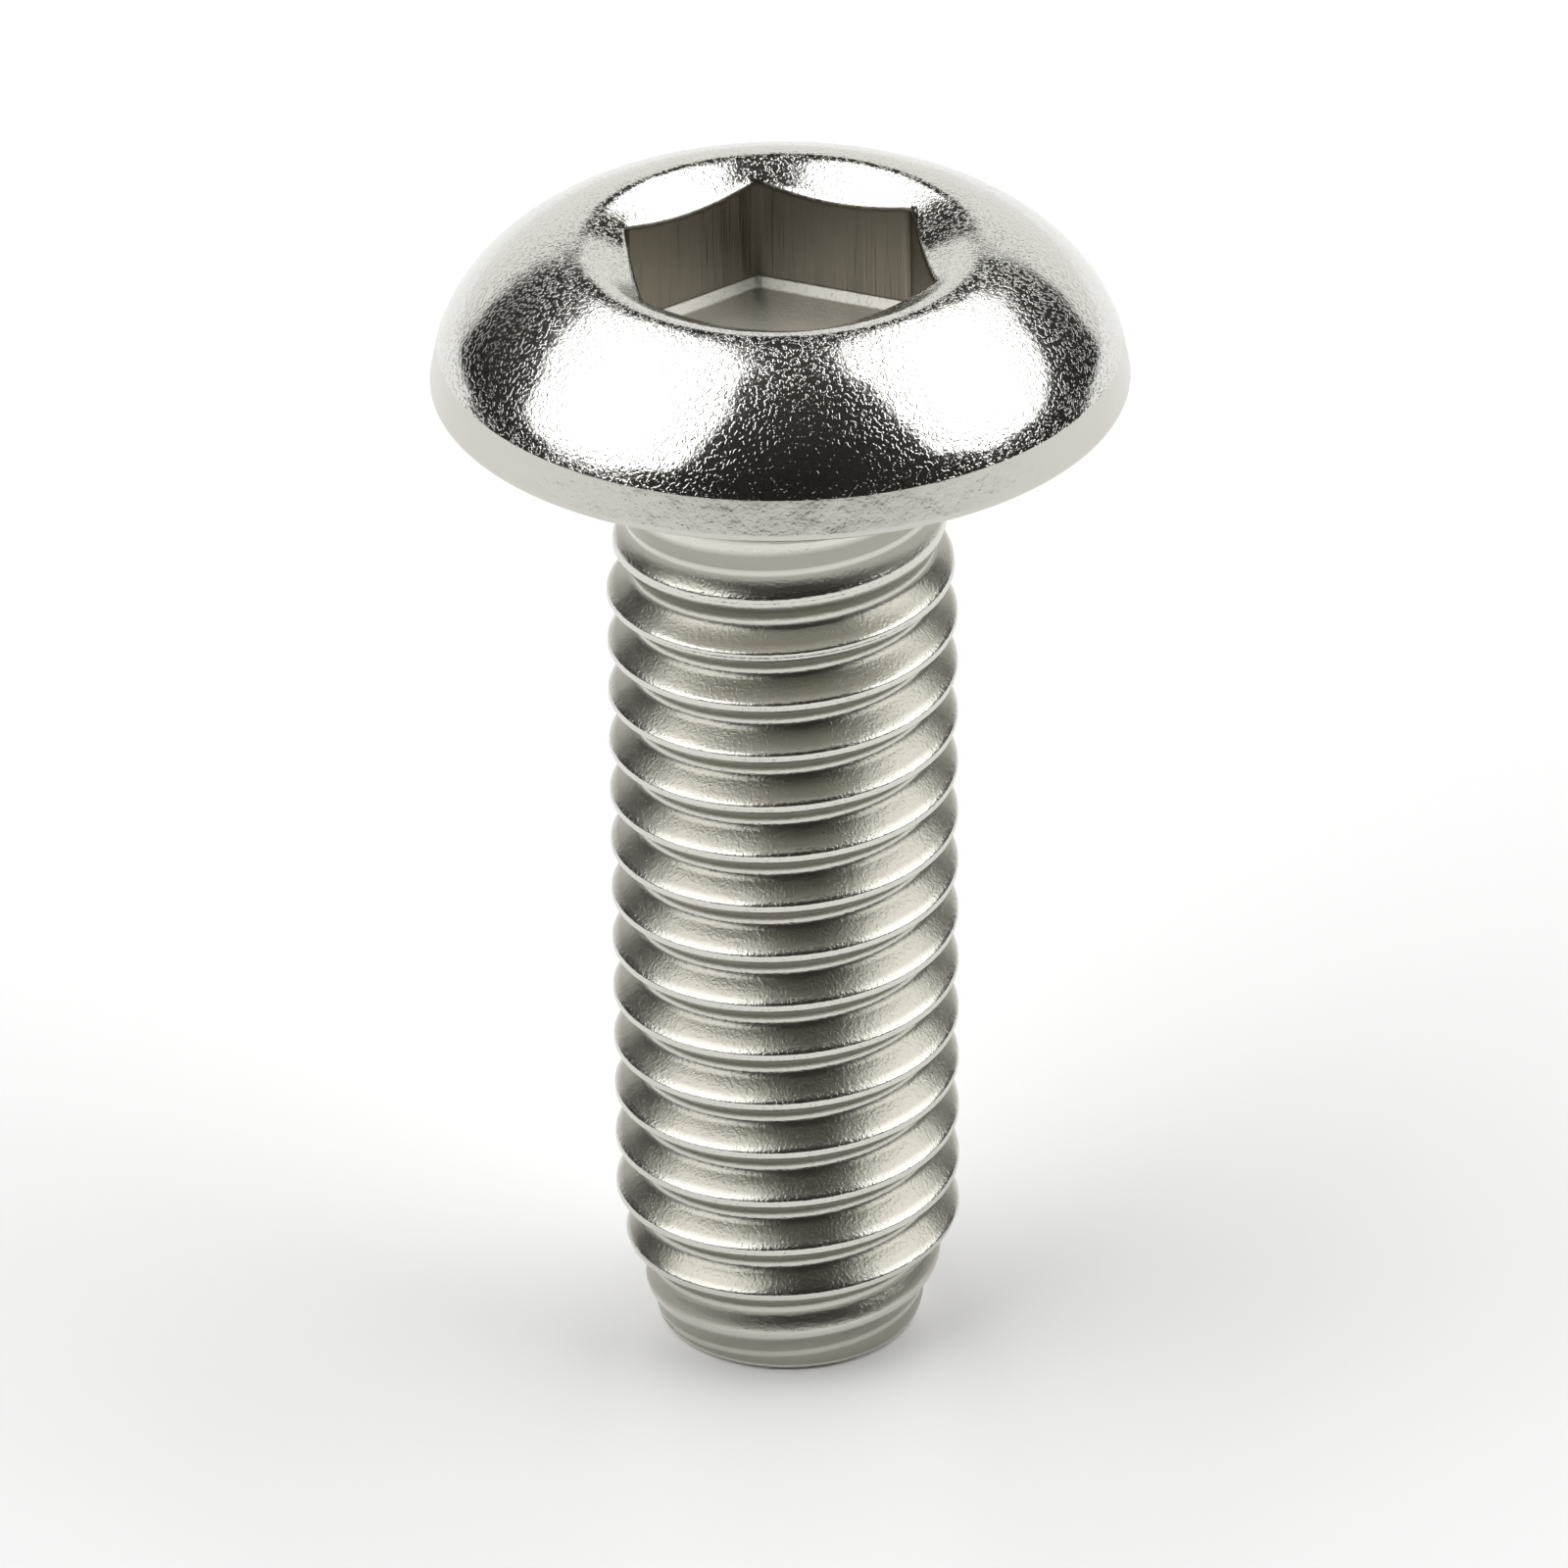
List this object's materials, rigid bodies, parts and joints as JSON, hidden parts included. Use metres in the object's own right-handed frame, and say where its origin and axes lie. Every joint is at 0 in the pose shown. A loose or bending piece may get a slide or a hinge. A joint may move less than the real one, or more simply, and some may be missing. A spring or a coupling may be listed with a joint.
{
  "type": "button head screw",
  "caption": "Stainless steel machine screw with a low domed head, a hexagon socket, a plain neck and a metric thread down to a tapered flat tip.",
  "frame": {"origin": "centre of the bearing face under the head", "axes": "+Z along the screw's axis, out of the crown; two of the socket's corners lie on the Y axis"},
  "size_m": [0.0098, 0.0096, 0.0171],
  "materials": {
    "stainless_steel": "bright cold-formed stainless steel, slightly orange-peeled on the crown, satin in the rolled thread"
  },
  "bodies": {
    "root": {"button_head_screw": "stainless_steel"}
  },
  "joints": []
}
